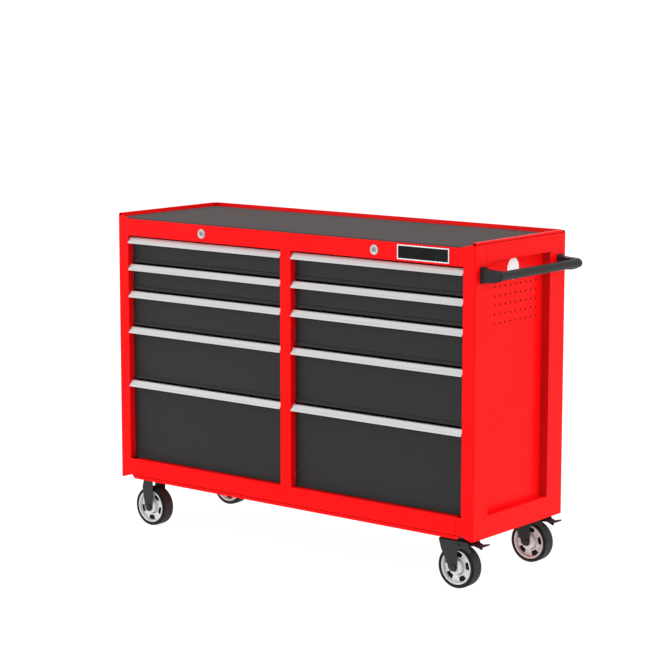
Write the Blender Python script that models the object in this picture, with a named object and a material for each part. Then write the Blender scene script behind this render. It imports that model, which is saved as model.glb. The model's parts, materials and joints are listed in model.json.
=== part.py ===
"""Rolling tool chest: two banks of five drawers in a sheet-steel cabinet on rigid and swivel casters.

Metres, +Z up. The origin is on the floor, under the middle of the object's bounding box. Everything hangs
on an empty whose own zero is the middle of the cabinet's front face at the height of its underside:
X runs across the front, Y from the front face to the back, Z up from the underside.
"""

from math import cos, pi, radians, sin

import bmesh
import bpy
from mathutils import Matrix, Vector

MM = 0.001

# Cabinet shell
HALF_WIDTH = 653 * MM
DEPTH = 440 * MM
LIP_TOP = 809.6 * MM
SHEET = 1.2 * MM
GAP = 0.3 * MM  # between pieces that touch
BEND = 5 * MM  # outside radius of the upright corners
SHELL_TOP = 802.4 * MM  # posts, sides and back end here, under the tray's rolled lip

# Front frame
OPENING_OUTER = 613.6 * MM  # outer edge of each drawer opening, from the middle of the cabinet
OPENING_INNER = 19.2 * MM
OPENING_LOW = 62 * MM
OPENING_HIGH = 743.2 * MM
FRAME_RETURN = 22 * MM  # how far the frame turns inwards round an opening
POST_SEAM = 596 * MM  # where header and bottom rail meet the corner posts
POST_SIDE_END = 55.4 * MM
HEADER_TOP = 793.3 * MM
DIP_END = 640 * MM  # the front edge of the top has risen to full height here
SKIRT_TOP = 11 * MM
SKIRT_HALF_TOP = 610 * MM
SKIRT_HALF_LOW = 601 * MM
POST_LAP = 4 * MM  # the centre post runs this far over the header and the rail

# Sides and back
REAR_SEAM = 369 * MM
RECESS_LOW = (68.2 * MM, 61.3 * MM)  # y and z of the side recess
RECESS_HIGH = (361.4 * MM, 753.5 * MM)
RECESS_DEPTH = 24.4 * MM
PEG_PITCH = 25 * MM
PEG_COLUMNS = 10
PEG_ROWS = 5
PEG_FIRST = (102.8 * MM, 577.5 * MM)
PEG_RADIUS = 2.8 * MM

# Top
TRAY_FLOOR = 790.2 * MM
LIP_WALL = 641 * MM  # inner face of the side lips
LIP_WIDTH = 12 * MM
ROLL = 6 * MM  # height and width of the slope that caps each lip
BACK_LIP_HALF = 639.2 * MM
MAT_THICKNESS = 7.5 * MM

# Drawers, from the top of each bank down
DRAWER_MODULES = (3, 3, 4, 6, 9)
MODULE = 27.2 * MM
FIRST_PULL_TOP = 738 * MM
REVEAL = 5.6 * MM  # black gap under each drawer front
FRONT_SETBACK = 21 * MM
SIDE_CLEARANCE = 1.8 * MM
TRAY_LOW = 12 * MM
TRAY_DROP = 14 * MM  # the tray's walls stop this far below the top of the front
TRAY_HALF = 286.8 * MM
TRAY_DEPTH = 400 * MM
HEM_HEIGHT = 8 * MM  # the lowest part of a front steps out by HEM_STEP
HEM_STEP = 3 * MM

# Drawer slides
RAIL_WEB = 300.1 * MM  # from the middle of a bank
RAIL_DEPTH = 12 * MM
RAIL_HALF = 17.5 * MM
RAIL_START = 24 * MM
RAIL_LENGTH = 400 * MM
RUNNER_WEB = 296 * MM
RUNNER_HALF = 10 * MM
RUNNER_SHEET = 1.5 * MM
SLIDE_HEIGHT = 30 * MM  # of the slide's middle over the drawer's lower edge
UPRIGHT_WEB = 299.5 * MM
UPRIGHT_STARTS = (60 * MM, 360 * MM)
UPRIGHT_WIDTH = 30 * MM
DIVIDER_HALF = 12 * MM

# Pulls
PULL_SHEET = 1.8 * MM
PULL_DROP = 18.5 * MM
PULL_TOP_REACH = 12 * MM
PULL_TIP_REACH = 24 * MM

# Locks and name plate
LOCK_X = 316.8 * MM
LOCK_Z = 768 * MM
LOCK_RADIUS = 14 * MM
LOCK_PROUD = 3 * MM
BARREL_RADIUS = 9.5 * MM
PLUG_RADIUS = 6.5 * MM
BADGE_MIDDLE = (482.5 * MM, 768.8 * MM)
BADGE_HALF = (86.5 * MM, 20.3 * MM)
BADGE_THICKNESS = 2.5 * MM

# Side handle
HANDLE_Z = 722.5 * MM
HANDLE_X = 711.6 * MM
HANDLE_Y = (33.4 * MM, 407.4 * MM)  # middles of the two brackets
HANDLE_RADIUS = 12.4 * MM
ELBOW = 13 * MM  # outside radius of each bracket's corner, seen from above

# Casters
CASTER_X = 554.8 * MM
CASTER_Y = (41.6 * MM, 397.8 * MM)
TRAIL = 28.1 * MM  # the swivel wheels sit this far out from their swivel axis
AXLE_DROP = 83.6 * MM
TYRE_RADIUS = 59.4 * MM
TYRE_HALF = 23 * MM
TYRE_SIDES = 32
RIM_RADIUS = 49 * MM
HUB_SIDES = 20
AXLE_RADIUS = 6 * MM
WINDOW_CIRCLE = 35 * MM
WINDOW_RADIUS = 7 * MM
HUB_TURN = {"left": radians(27), "right": radians(-2)}  # where the hubs' windows stand
LEG_INNER = 26 * MM
LEG_SHEET = 3 * MM
PLATE_HALF = (57 * MM, 35 * MM)
PLATE_TOP = 9.5 * MM
PLATE_SHEET = 3 * MM
YOKE_TOP = -10 * MM
ARCH_RADIUS = 63 * MM  # the fork's arch round the wheel's axis
PEDAL_HINGE = (46 * MM, -17 * MM)  # x and z from the swivel axis and the cabinet's underside

FLOOR_CLEARANCE = AXLE_DROP + TYRE_RADIUS
RIGHT_REACH = HANDLE_X + HANDLE_RADIUS
FRONT_REACH = PULL_TIP_REACH - FRONT_SETBACK
BANK_X = (OPENING_OUTER + OPENING_INNER) / 2
BANK_HALF = (OPENING_OUTER - OPENING_INNER) / 2


# ---------------------------------------------------------------- shapes

def exact(values):
    """The values on a grid of 0.001 mm, so that faces that should be flush are exactly flush."""
    return [round(value, 6) for value in values]


def box(low, high):
    """A box between two opposite corners."""
    shape = bmesh.new()
    bmesh.ops.create_cube(shape, size=1)
    for vert in shape.verts:
        vert.co = exact(b if side > 0 else a for a, b, side in zip(low, high, vert.co))
    return shape


def prism(outline, along, start, end):
    """A closed outline pushed along X, Y or Z. Its points hold the two other axes in order."""
    shape = bmesh.new()
    places = {"X": (1, 2, 0), "Y": (0, 2, 1), "Z": (0, 1, 2)}[along]
    corners = []
    low, high = exact((start, end))
    for point in outline:
        corner = Vector()
        corner[places[0]], corner[places[1]] = exact(point)
        corner[places[2]] = low
        corners.append(shape.verts.new(corner))
    base = shape.faces.new(corners)
    pushed = bmesh.ops.extrude_face_region(shape, geom=[base])["geom"]
    for part in pushed:
        if isinstance(part, bmesh.types.BMVert):
            part.co[places[2]] = high
    bmesh.ops.recalc_face_normals(shape, faces=shape.faces)
    return shape


def rounded(path, corner, radius, steps=4):
    """The path with one of its square corners replaced by an arc."""
    before, at, after = (Vector(path[corner + step]) for step in (-1, 0, 1))
    back = (before - at).normalized()
    onward = (after - at).normalized()
    middle = at + (back + onward) * radius
    arc = []
    for step in range(steps + 1):
        turn = pi / 2 * step / steps
        arc.append(tuple(middle - onward * radius * cos(turn) - back * radius * sin(turn)))
    return path[:corner] + arc + path[corner + 1:]


def bent_sheet(path, sheet, along, start, end):
    """A sheet bent along the path, with its thickness to the left of the path's direction."""
    points = [Vector(point) for point in path]
    inner = []
    for index, point in enumerate(points):
        sides = []
        for a, b in ((index - 1, index), (index, index + 1)):
            if a < 0 or b == len(points):
                continue
            run = (points[b] - points[a]).normalized()
            sides.append(Vector((-run.y, run.x)))
        normal = sum(sides, Vector((0, 0))).normalized()
        inner.append(tuple(point + normal * sheet / normal.dot(sides[0])))
    return prism([tuple(point) for point in points] + inner[::-1], along, start, end)


def turned(profile, sides):
    """A closed profile of (radius, y) points spun once round Y."""
    shape = bmesh.new()
    corners = [shape.verts.new((radius, y, 0)) for radius, y in profile]
    edges = [shape.edges.new((a, b)) for a, b in zip(corners, corners[1:] + corners[:1])]
    bmesh.ops.spin(
        shape, geom=corners + edges, axis=(0, 1, 0), cent=(0, 0, 0),
        angle=2 * pi, steps=sides, use_merge=True,
    )
    bmesh.ops.remove_doubles(shape, verts=shape.verts, dist=0.01 * MM)
    bmesh.ops.recalc_face_normals(shape, faces=shape.faces)
    return shape


def disc(radius, sides, axis, start, end, at=(0, 0)):
    """A round bar along Y or Z through a point of the other two axes."""
    circle = []
    for side in range(sides):
        turn = 2 * pi * side / sides
        circle.append((at[0] + radius * cos(turn), at[1] + radius * sin(turn)))
    return prism(circle, axis, start, end)


def flipped(shape):
    """The shape mirrored from right to left."""
    bmesh.ops.scale(shape, vec=(-1, 1, 1), verts=shape.verts)
    bmesh.ops.reverse_faces(shape, faces=shape.faces)
    return shape


def helper_object(shape):
    mesh = bpy.data.meshes.new("helper")
    shape.to_mesh(mesh)
    shape.free()
    thing = bpy.data.objects.new("helper", mesh)
    bpy.context.scene.collection.objects.link(thing)
    return thing


def fused(shapes, cuts=()):
    """One mesh: the overlapping shapes joined, less the cuts."""
    helpers = [helper_object(shape) for shape in (*shapes, *cuts)]
    base = helpers[0]
    for index, tool in enumerate(helpers[1:], start=1):
        modifier = base.modifiers.new("step", "BOOLEAN")
        modifier.operation = "UNION" if index < len(shapes) else "DIFFERENCE"
        modifier.object = tool
    bpy.context.view_layer.update()
    evaluated = base.evaluated_get(bpy.context.evaluated_depsgraph_get())
    mesh = bpy.data.meshes.new_from_object(evaluated)
    for tool in helpers:
        bpy.data.objects.remove(tool)
    mesh.shade_smooth()
    mesh.set_sharp_from_angle(angle=radians(35))
    return mesh


def mirrored(mesh):
    """A copy of the mesh mirrored from right to left."""
    copy = mesh.copy()
    copy.transform(Matrix.Diagonal((-1, 1, 1, 1)))
    copy.flip_normals()
    return copy


# ---------------------------------------------------------------- materials and placing

def finish(name, colour, roughness, metallic=0.0):
    material = bpy.data.materials.new(name)
    material.use_nodes = True
    shader = material.node_tree.nodes["Principled BSDF"]
    shader.inputs["Base Color"].default_value = (*colour, 1)
    shader.inputs["Roughness"].default_value = roughness
    shader.inputs["Metallic"].default_value = metallic
    return material


def empty(name, parent, at):
    thing = bpy.data.objects.new(name, None)
    thing.parent = parent
    thing.location = at
    bpy.context.scene.collection.objects.link(thing)
    return thing


def place(name, mesh, material, parent, at=(0, 0, 0), turn=0.0):
    """A named piece, turned round Y on request. Copies share a mesh."""
    thing = bpy.data.objects.new(name, mesh)
    if not mesh.materials:
        mesh.materials.append(material)
    thing.parent = parent
    thing.location = at
    thing.rotation_euler.y = turn
    bpy.context.scene.collection.objects.link(thing)


# ---------------------------------------------------------------- cabinet

def corner_post():
    """Right front post: front leaf with its curved top, round corner, side leaf and inward return."""
    dip = []
    for step in range(7):
        share = step / 6
        rise = (1 - cos(pi * share)) / 2
        dip.append((
            POST_SEAM + GAP + (DIP_END - POST_SEAM - GAP) * share,
            HEADER_TOP + (SHELL_TOP - HEADER_TOP) * rise,
        ))
    leaf_edge = HALF_WIDTH - BEND
    front = [
        (OPENING_OUTER, OPENING_LOW),
        (OPENING_OUTER, OPENING_HIGH),
        (POST_SEAM + GAP, OPENING_HIGH),
        *dip,
        (leaf_edge, SHELL_TOP),
        (leaf_edge, 0),
        (SKIRT_HALF_TOP, SKIRT_TOP + GAP),
        (POST_SEAM + GAP, SKIRT_TOP + GAP),
        (POST_SEAM + GAP, OPENING_LOW),
    ]
    corner = rounded(
        [(leaf_edge, 0), (HALF_WIDTH, 0), (HALF_WIDTH, POST_SIDE_END - GAP)], 1, BEND - GAP,
    )
    return fused([
        prism(front, "Y", 0, SHEET),
        bent_sheet(corner, SHEET, "Z", 0, SHELL_TOP),
        box((OPENING_OUTER, SHEET, OPENING_LOW), (OPENING_OUTER + SHEET, FRAME_RETURN, OPENING_HIGH)),
    ])


def side_panel(pegs):
    """Right side sheet with its deep pressed recess, punched on request with a grid of peg holes."""
    recess_x = HALF_WIDTH - RECESS_DEPTH
    skin = box((HALF_WIDTH - SHEET, POST_SIDE_END, 0), (HALF_WIDTH, REAR_SEAM - GAP, SHELL_TOP))
    pressing = box(
        (recess_x - SHEET, RECESS_LOW[0] - SHEET, RECESS_LOW[1] - SHEET),
        (HALF_WIDTH - SHEET / 2, RECESS_HIGH[0] + SHEET, RECESS_HIGH[1] + SHEET),
    )
    cuts = [box((recess_x, *RECESS_LOW), (HALF_WIDTH + SHEET, *RECESS_HIGH))]
    if pegs:
        for column in range(PEG_COLUMNS):
            for row in range(PEG_ROWS):
                middle = (PEG_FIRST[0] + column * PEG_PITCH, PEG_FIRST[1] + row * PEG_PITCH)
                circle = []
                for side in range(6):
                    turn = pi / 3 * side
                    circle.append((middle[0] + PEG_RADIUS * cos(turn), middle[1] + PEG_RADIUS * sin(turn)))
                cuts.append(prism(circle, "X", recess_x - 2 * SHEET, recess_x + SHEET))
    return fused([skin, pressing], cuts)


def back_panel():
    """Back sheet, with both rear corners and a strip of each side bent from it."""
    path = [(HALF_WIDTH, REAR_SEAM), (HALF_WIDTH, DEPTH), (-HALF_WIDTH, DEPTH), (-HALF_WIDTH, REAR_SEAM)]
    path = rounded(rounded(path, 2, BEND), 1, BEND)
    return fused([bent_sheet(path, SHEET, "Z", 0, SHELL_TOP)])


def top_tray():
    """Floor under the mat, with a rolled lip at each side and at the back."""
    side = [
        (HALF_WIDTH, LIP_TOP - ROLL),
        (HALF_WIDTH - ROLL, LIP_TOP),
        (LIP_WALL, LIP_TOP),
        (LIP_WALL, TRAY_FLOOR),
    ]
    path = side + [(-x, z) for x, z in side[::-1]]
    back_wall = DEPTH - LIP_WIDTH
    back = [
        (DEPTH, LIP_TOP - ROLL),
        (DEPTH - ROLL, LIP_TOP),
        (back_wall, LIP_TOP),
        (back_wall, TRAY_FLOOR - SHEET),
    ]
    hem = 3 * MM
    return fused([
        bent_sheet(path, SHEET, "Y", hem + GAP, DEPTH - SHEET - GAP),
        bent_sheet(back, SHEET, "X", -BACK_LIP_HALF, BACK_LIP_HALF),
    ])


def top_mat():
    edge = 1 * MM
    low = (-LIP_WALL + edge, 4 * MM, TRAY_FLOOR + GAP)
    high = (LIP_WALL - edge, DEPTH - LIP_WIDTH - edge, TRAY_FLOOR + GAP + MAT_THICKNESS)
    return fused([box(low, high)])


def header_rail():
    """Channel over the drawers, hemmed on top, notched for the centre post and holed for the locks."""
    half = POST_SEAM - GAP
    notch = OPENING_INNER + GAP
    path = [
        (FRAME_RETURN, OPENING_HIGH),
        (0, OPENING_HIGH),
        (0, HEADER_TOP),
        (3 * MM, HEADER_TOP),
        (3 * MM, HEADER_TOP - 10 * MM),
    ]
    cuts = [box((-notch, -SHEET, OPENING_HIGH - SHEET), (notch, SHEET + GAP, OPENING_HIGH + POST_LAP))]
    for x in (-LOCK_X, LOCK_X):
        cuts.append(disc(BARREL_RADIUS + GAP, 16, "Y", -SHEET, 2 * SHEET, at=(x, LOCK_Z)))
    return fused([bent_sheet(path[::-1], SHEET, "X", -half, half)], cuts)


def bottom_rail():
    """Channel under the drawers, notched for the centre post."""
    half = POST_SEAM - GAP
    notch = OPENING_INNER + GAP
    low = SKIRT_TOP + GAP
    path = [(14 * MM, low), (0, low), (0, OPENING_LOW), (FRAME_RETURN, OPENING_LOW)]
    cut = box((-notch, -SHEET, OPENING_LOW - POST_LAP), (notch, SHEET + GAP, OPENING_LOW + SHEET))
    return fused([bent_sheet(path[::-1], SHEET, "X", -half, half)], [cut])


def centre_post():
    """Front stile between the banks. Its face laps the rails, its returns stand between them."""
    half = OPENING_INNER
    low = OPENING_LOW + GAP
    high = OPENING_HIGH - GAP
    return fused([
        box((-half, 0, low - POST_LAP), (half, SHEET, high + POST_LAP)),
        box((-half, SHEET, low), (SHEET - half, FRAME_RETURN, high)),
        box((half - SHEET, SHEET, low), (half, FRAME_RETURN, high)),
    ])


def centre_divider():
    """Folded channel behind the centre post, which carries the inner slides of both banks."""
    rear = DEPTH - SHEET - 2 * MM
    path = [
        (-DIVIDER_HALF, rear),
        (-DIVIDER_HALF, RAIL_START),
        (DIVIDER_HALF, RAIL_START),
        (DIVIDER_HALF, rear),
    ]
    return fused([bent_sheet(path, SHEET, "Z", SKIRT_TOP + GAP, TRAY_FLOOR - SHEET - GAP)])


def bottom_pan():
    """Floor of the cabinet with a front skirt, set back behind the bottom rail, and a rear flange."""
    inner = HALF_WIDTH - SHEET - GAP
    front = BEND + GAP
    rear = DEPTH - BEND - GAP
    skirt_y = SHEET + GAP
    skirt_back = skirt_y + SHEET
    skirt = [
        (-SKIRT_HALF_LOW, 0), (SKIRT_HALF_LOW, 0),
        (SKIRT_HALF_TOP, SKIRT_TOP), (-SKIRT_HALF_TOP, SKIRT_TOP),
    ]
    floor = [
        (-SKIRT_HALF_LOW, skirt_back), (SKIRT_HALF_LOW, skirt_back), (SKIRT_HALF_LOW, front),
        (inner, front), (inner, rear), (-inner, rear), (-inner, front), (-SKIRT_HALF_LOW, front),
    ]
    floor_low = SKIRT_TOP - SHEET
    return fused([
        prism(floor, "Z", floor_low, SKIRT_TOP),
        prism(skirt, "Y", skirt_y, skirt_back),
        box((-inner, rear - SHEET, 0), (inner, rear, floor_low)),
    ])


# ---------------------------------------------------------------- drawers

def drawer_rows():
    """Lower edge and overall height of each drawer front with its pull, from the top one down."""
    rows = []
    top = FIRST_PULL_TOP
    for modules in DRAWER_MODULES:
        pitch = modules * MODULE
        rows.append((top - pitch + REVEAL, pitch - REVEAL))
        top -= pitch
    return rows


def channel(open_edge, web, middle, half, sheet, start, end):
    """A slide member on the +X side: a channel along Y that opens towards the drawer's middle."""
    path = [
        (open_edge, middle - half),
        (web, middle - half),
        (web, middle + half),
        (open_edge, middle + half),
    ]
    return bent_sheet(path, sheet, "Y", start, end)


def slide_rack(reach):
    """Two uprights that carry a bank's outer slide members on its +X side, out to the given reach."""
    shapes = []
    for start in UPRIGHT_STARTS:
        end = start + UPRIGHT_WIDTH
        path = [(reach, end), (UPRIGHT_WEB, end), (UPRIGHT_WEB, start), (reach, start)]
        shapes.append(bent_sheet(path, SHEET, "Z", SKIRT_TOP + GAP, TRAY_FLOOR - SHEET - GAP))
    for low, _ in drawer_rows():
        shapes.append(channel(
            RAIL_WEB - RAIL_DEPTH, RAIL_WEB, low + SLIDE_HEIGHT, RAIL_HALF, SHEET,
            RAIL_START, RAIL_START + RAIL_LENGTH,
        ))
    return fused([*shapes[2:3], *shapes[:2], *shapes[3:]])


def drawer(height):
    """Open tray with its formed front and a runner on each side. Zero is the front's lower edge."""
    half = BANK_HALF - SIDE_CLEARANCE
    step_top = HEM_HEIGHT + HEM_STEP
    front = [
        (0, height - 2.5 * MM),
        (0, step_top),
        (-HEM_STEP, HEM_HEIGHT),
        (-HEM_STEP, 0),
        (9 * MM, 0),
    ]
    wall_top = height - TRAY_DROP
    start = SHEET + GAP
    runner = (TRAY_HALF - GAP, RUNNER_WEB, SLIDE_HEIGHT, RUNNER_HALF, RUNNER_SHEET, start, TRAY_DEPTH)
    cavity = box(
        (-TRAY_HALF + SHEET, SHEET, TRAY_LOW + SHEET),
        (TRAY_HALF - SHEET, TRAY_DEPTH - SHEET, height),
    )
    return fused(
        [
            bent_sheet(front, SHEET, "X", -half, half),
            box((-TRAY_HALF, SHEET / 2, TRAY_LOW), (TRAY_HALF, TRAY_DEPTH, wall_top)),
            channel(*runner),
            flipped(channel(*runner)),
        ],
        [cavity],
    )


def pull(height):
    """Extruded handle across the top of a drawer front, open below behind its sloping face."""
    half = BANK_HALF - SIDE_CLEARANCE + GAP
    path = [
        (-GAP, height - 16 * MM),
        (-GAP, height),
        (-PULL_TOP_REACH, height),
        (-PULL_TIP_REACH, height - PULL_DROP),
    ]
    return fused([bent_sheet(path, PULL_SHEET, "X", -half, half)])


# ---------------------------------------------------------------- small fittings

def lock_housing():
    """Round flange on the header with a barrel through it. Zero is where its axis meets the header."""
    bore = PLUG_RADIUS + GAP
    profile = [
        (bore, -LOCK_PROUD),
        (LOCK_RADIUS - 2 * MM, -LOCK_PROUD),
        (LOCK_RADIUS, -LOCK_PROUD + 1.2 * MM),
        (LOCK_RADIUS, -GAP),
        (BARREL_RADIUS, -GAP),
        (BARREL_RADIUS, 16 * MM),
        (bore, 16 * MM),
    ]
    return fused([turned(profile, 20)])


def lock_plug():
    """Plug with a key slot in its face, standing a little inside the housing's face."""
    slot_half = (0.9 * MM, 4 * MM)
    face = -LOCK_PROUD + 0.6 * MM
    slot = box((-slot_half[0], face - MM, -slot_half[1]), (slot_half[0], 10 * MM, slot_half[1]))
    return fused([disc(PLUG_RADIUS, 20, "Y", face, 18 * MM)], [slot])


def badge_plate():
    """Blank name plate with a raised rim."""
    rim = 3.5 * MM
    width, height = BADGE_HALF
    front = -BADGE_THICKNESS - GAP
    return fused(
        [box((-width, front, -height), (width, -GAP, height))],
        [box((-width + rim, front - MM, -height + rim), (width - rim, front + 1 * MM, height - rim))],
    )


def handle_bar():
    """Straight round bar between the two brackets. Zero is the cabinet's own zero."""
    near, far = HANDLE_Y
    reach = HANDLE_RADIUS + GAP
    return fused([disc(HANDLE_RADIUS, 20, "Y", near + reach, far - reach, at=(HANDLE_X, HANDLE_Z))])


def handle_bracket(outside):
    """Flange on the side panel and an arm that carries on into the bar's end. Zero is on the panel's face.

    Outside is -1 on the front bracket and 1 on the rear one: the side on which the corner is rounded.
    """
    axis = HANDLE_X - HALF_WIDTH
    arm = [(4 * MM, -20.7 * MM), (48 * MM, -18 * MM)]
    for step in range(9):
        turn = -pi / 2 + pi * step / 8
        arm.append((axis + HANDLE_RADIUS * cos(turn), HANDLE_RADIUS * sin(turn)))
    arm += [(14 * MM, 15 * MM), (4 * MM, 18 * MM)]
    tip = axis + HANDLE_RADIUS
    corner = [(tip + MM, outside * (HANDLE_RADIUS + MM)), (tip + MM, outside * (HANDLE_RADIUS - ELBOW))]
    for step in range(7):
        turn = pi / 2 * step / 6
        corner.append((
            tip - ELBOW + ELBOW * cos(turn),
            outside * (HANDLE_RADIUS - ELBOW + ELBOW * sin(turn)),
        ))
    corner.append((tip - ELBOW, outside * (HANDLE_RADIUS + MM)))
    return fused(
        [
            box((GAP, -HANDLE_RADIUS, -23 * MM), (5 * MM, HANDLE_RADIUS, 21 * MM)),
            prism(arm, "Y", -HANDLE_RADIUS, HANDLE_RADIUS),
        ],
        [prism(corner, "Z", -30 * MM, 30 * MM)],
    )


# ---------------------------------------------------------------- casters

def leg_outline(down, end_middle, end_radius, up):
    """A leg seen from the side: down one edge, round the end at the axle, and up the other edge."""
    outline = list(down)
    for step in range(7):
        turn = pi + pi * step / 6
        outline.append((end_middle[0] + end_radius * cos(turn), end_middle[1] + end_radius * sin(turn)))
    return outline + list(up)


def arch(axle, radius, first, last):
    """Points of the edge that follows the tyre, from one angle over the axle to another."""
    points = []
    for step in range(4):
        turn = first + (last - first) * step / 3
        points.append((axle[0] + radius * cos(turn), axle[1] + radius * sin(turn)))
    return points


def legs(outline):
    outer = LEG_INNER + LEG_SHEET
    return [prism(outline, "Y", LEG_INNER, outer), prism(outline, "Y", -outer, -LEG_INNER)]


def axle_bolt(axle):
    """Axle through both legs, with a hexagon head at one end and a nut at the other."""
    reach = LEG_INNER + LEG_SHEET + 5 * MM
    shapes = [disc(AXLE_RADIUS, 16, "Y", -reach, reach, at=axle)]
    for start, end in ((-reach, -LEG_INNER - MM), (LEG_INNER + MM, reach)):
        shapes.append(disc(9 * MM, 6, "Y", start, end, at=axle))
    return shapes


def rigid_bracket():
    """Plate, two legs and axle in one. Zero is on the cabinet's underside over the wheel."""
    axle = (0, -AXLE_DROP)
    top = PLATE_TOP - 2 * MM
    outline = leg_outline(
        [(-15 * MM, top), (-24 * MM, -24 * MM)], axle, 14 * MM, [(18 * MM, -24 * MM), (16 * MM, top)],
    )
    plate = box((-PLATE_HALF[0], -PLATE_HALF[1], PLATE_TOP - PLATE_SHEET), (*PLATE_HALF, PLATE_TOP))
    return fused([plate, *legs(outline), *axle_bolt(axle)])


def swivel_plate():
    """Mounting plate with the upper bearing race under it. Zero is on the swivel axis."""
    plate = box((-PLATE_HALF[0], -PLATE_HALF[1], PLATE_TOP - PLATE_SHEET), (*PLATE_HALF, PLATE_TOP))
    race = disc(28 * MM, 20, "Z", YOKE_TOP + 5.3 * MM, PLATE_TOP - MM)
    hole = disc(6.5 * MM, 16, "Z", YOKE_TOP, PLATE_TOP + MM)
    return fused([plate, race], [hole])


def swivel_fork():
    """Yoke with kingpin, lower race, axle and two legs with an arch. Zero is on the swivel axis."""
    axle = (TRAIL, -AXLE_DROP)
    top = YOKE_TOP - MM
    leg_rear = 40 * MM
    follow = arch(axle, ARCH_RADIUS, radians(72), radians(43))
    lean = leg_outline(
        [(-20 * MM, top), (-11 * MM, -36 * MM)],
        (axle[0] - 2.5 * MM, axle[1] + 4 * MM), 14.5 * MM,
        [(leg_rear, axle[1] + 14 * MM), (leg_rear, axle[1] + 46 * MM), *follow, (56 * MM, top)],
    )
    outer = LEG_INNER + LEG_SHEET
    yoke = box((-20 * MM, -outer, YOKE_TOP - LEG_SHEET), (40 * MM, outer, YOKE_TOP))
    race = disc(19 * MM, 16, "Z", YOKE_TOP - MM, YOKE_TOP + 5 * MM)
    kingpin = disc(6 * MM, 16, "Z", YOKE_TOP - LEG_SHEET - 4 * MM, PLATE_TOP - GAP)
    pivot = disc(3.3 * MM, 12, "Y", -outer - MM, outer + MM, at=PEDAL_HINGE)
    return fused([yoke, *legs(lean), race, kingpin, *axle_bolt(axle)], [pivot])


def brake_pedal():
    """Foot lever with its pivot pins and brake shoe. Zero is on its hinge axis."""
    half = LEG_INNER - MM
    wave = [(0, 0), (18, 3), (38, 1), (51, -2), (62, 2), (73, 5)]
    thick = 2.5 * MM
    upper = [(x * MM, z * MM + thick) for x, z in wave]
    lower = [(x * MM, z * MM - thick) for x, z in wave]
    lever = prism(lower + upper[::-1], "Y", -15 * MM, 15 * MM)
    barrel = disc(5 * MM, 16, "Y", -half, half)
    pins = disc(3 * MM, 12, "Y", -LEG_INNER - LEG_SHEET, LEG_INNER + LEG_SHEET)
    shoe = box((2 * MM, -14 * MM, -9 * MM), (12 * MM, 14 * MM, 1 * MM))
    return fused([lever, barrel, pins, shoe])


def wheel_hub():
    """Dished hub with five windows between its boss and its rim. Zero is the wheel's middle."""
    half_profile = [
        (AXLE_RADIUS + GAP, 24.5 * MM), (18 * MM, 24.5 * MM), (24 * MM, 17 * MM),
        (43 * MM, 17 * MM), (44.5 * MM, 20 * MM), (RIM_RADIUS, 20 * MM),
    ]
    profile = half_profile + [(radius, -y) for radius, y in half_profile[::-1]]
    windows = []
    between_edges = pi / HUB_SIDES
    for window in range(5):
        turn = 2 * pi * window / 5 + between_edges
        middle = (WINDOW_CIRCLE * cos(turn), WINDOW_CIRCLE * sin(turn))
        windows.append(disc(WINDOW_RADIUS, 6, "Y", -TYRE_HALF, TYRE_HALF, at=middle))
    return fused([turned(profile, HUB_SIDES)], windows)


def wheel_tyre():
    """Plain tread with rounded shoulders, seated on the rim."""
    corner = 1 / cos(pi / TYRE_SIDES)  # the flats, not the corners between them, have the stated radii
    half_profile = [
        ((RIM_RADIUS + GAP) * corner, 20 * MM),
        (53 * MM, TYRE_HALF),
        (57.5 * MM, 22 * MM),
        (TYRE_RADIUS * corner, 16 * MM),
    ]
    profile = half_profile + [(radius, -y) for radius, y in half_profile[::-1]]
    return fused([turned(profile, TYRE_SIDES)])


# ---------------------------------------------------------------- assembly

def build_shell(body, red, rubber):
    post = corner_post()
    place("corner_post_right", post, red, body)
    place("corner_post_left", mirrored(post), red, body)
    place("side_panel_right", side_panel(pegs=True), red, body)
    place("side_panel_left", mirrored(side_panel(pegs=False)), red, body)
    for name, make in (
        ("back_panel", back_panel), ("top_tray", top_tray), ("header_rail", header_rail),
        ("bottom_rail", bottom_rail), ("centre_post", centre_post), ("centre_divider", centre_divider),
        ("bottom_pan", bottom_pan),
    ):
        place(name, make(), red, body)
    place("top_mat", top_mat(), rubber, body)


def build_banks(body, charcoal, aluminium, steel):
    side_wall = HALF_WIDTH - RECESS_DEPTH - SHEET - BANK_X - GAP
    divider_wall = BANK_X - DIVIDER_HALF - GAP
    outer_rack = slide_rack(side_wall)
    inner_rack = slide_rack(divider_wall)
    banks = (("left", -BANK_X), ("right", BANK_X))
    place("slide_rack_right_outer", outer_rack, steel, body, (BANK_X, 0, 0))
    place("slide_rack_right_inner", mirrored(inner_rack), steel, body, (BANK_X, 0, 0))
    place("slide_rack_left_outer", mirrored(outer_rack), steel, body, (-BANK_X, 0, 0))
    place("slide_rack_left_inner", inner_rack, steel, body, (-BANK_X, 0, 0))
    for number, (low, height) in enumerate(drawer_rows(), start=1):
        tray = drawer(height)
        handle = pull(height)
        for side, x in banks:
            carriage = empty(f"slide_{side}_{number}", body, (x, FRONT_SETBACK, low))
            place(f"drawer_{side}_{number}", tray, charcoal, carriage)
            place(f"pull_{side}_{number}", handle, aluminium, carriage)


def build_fittings(body, silver, black):
    housing = lock_housing()
    plug = lock_plug()
    for side, x in (("left", -LOCK_X), ("right", LOCK_X)):
        place(f"lock_housing_{side}", housing, silver, body, (x, 0, LOCK_Z))
        place(f"lock_plug_{side}", plug, silver, body, (x, 0, LOCK_Z))
    place("badge_plate", badge_plate(), black, body, (BADGE_MIDDLE[0], 0, BADGE_MIDDLE[1]))
    place("handle_bar", handle_bar(), black, body)
    for name, y, outside in (("front", HANDLE_Y[0], -1), ("rear", HANDLE_Y[1], 1)):
        bracket = handle_bracket(outside)
        place(f"handle_bracket_{name}", bracket, black, body, (HALF_WIDTH, y, HANDLE_Z))


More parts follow.
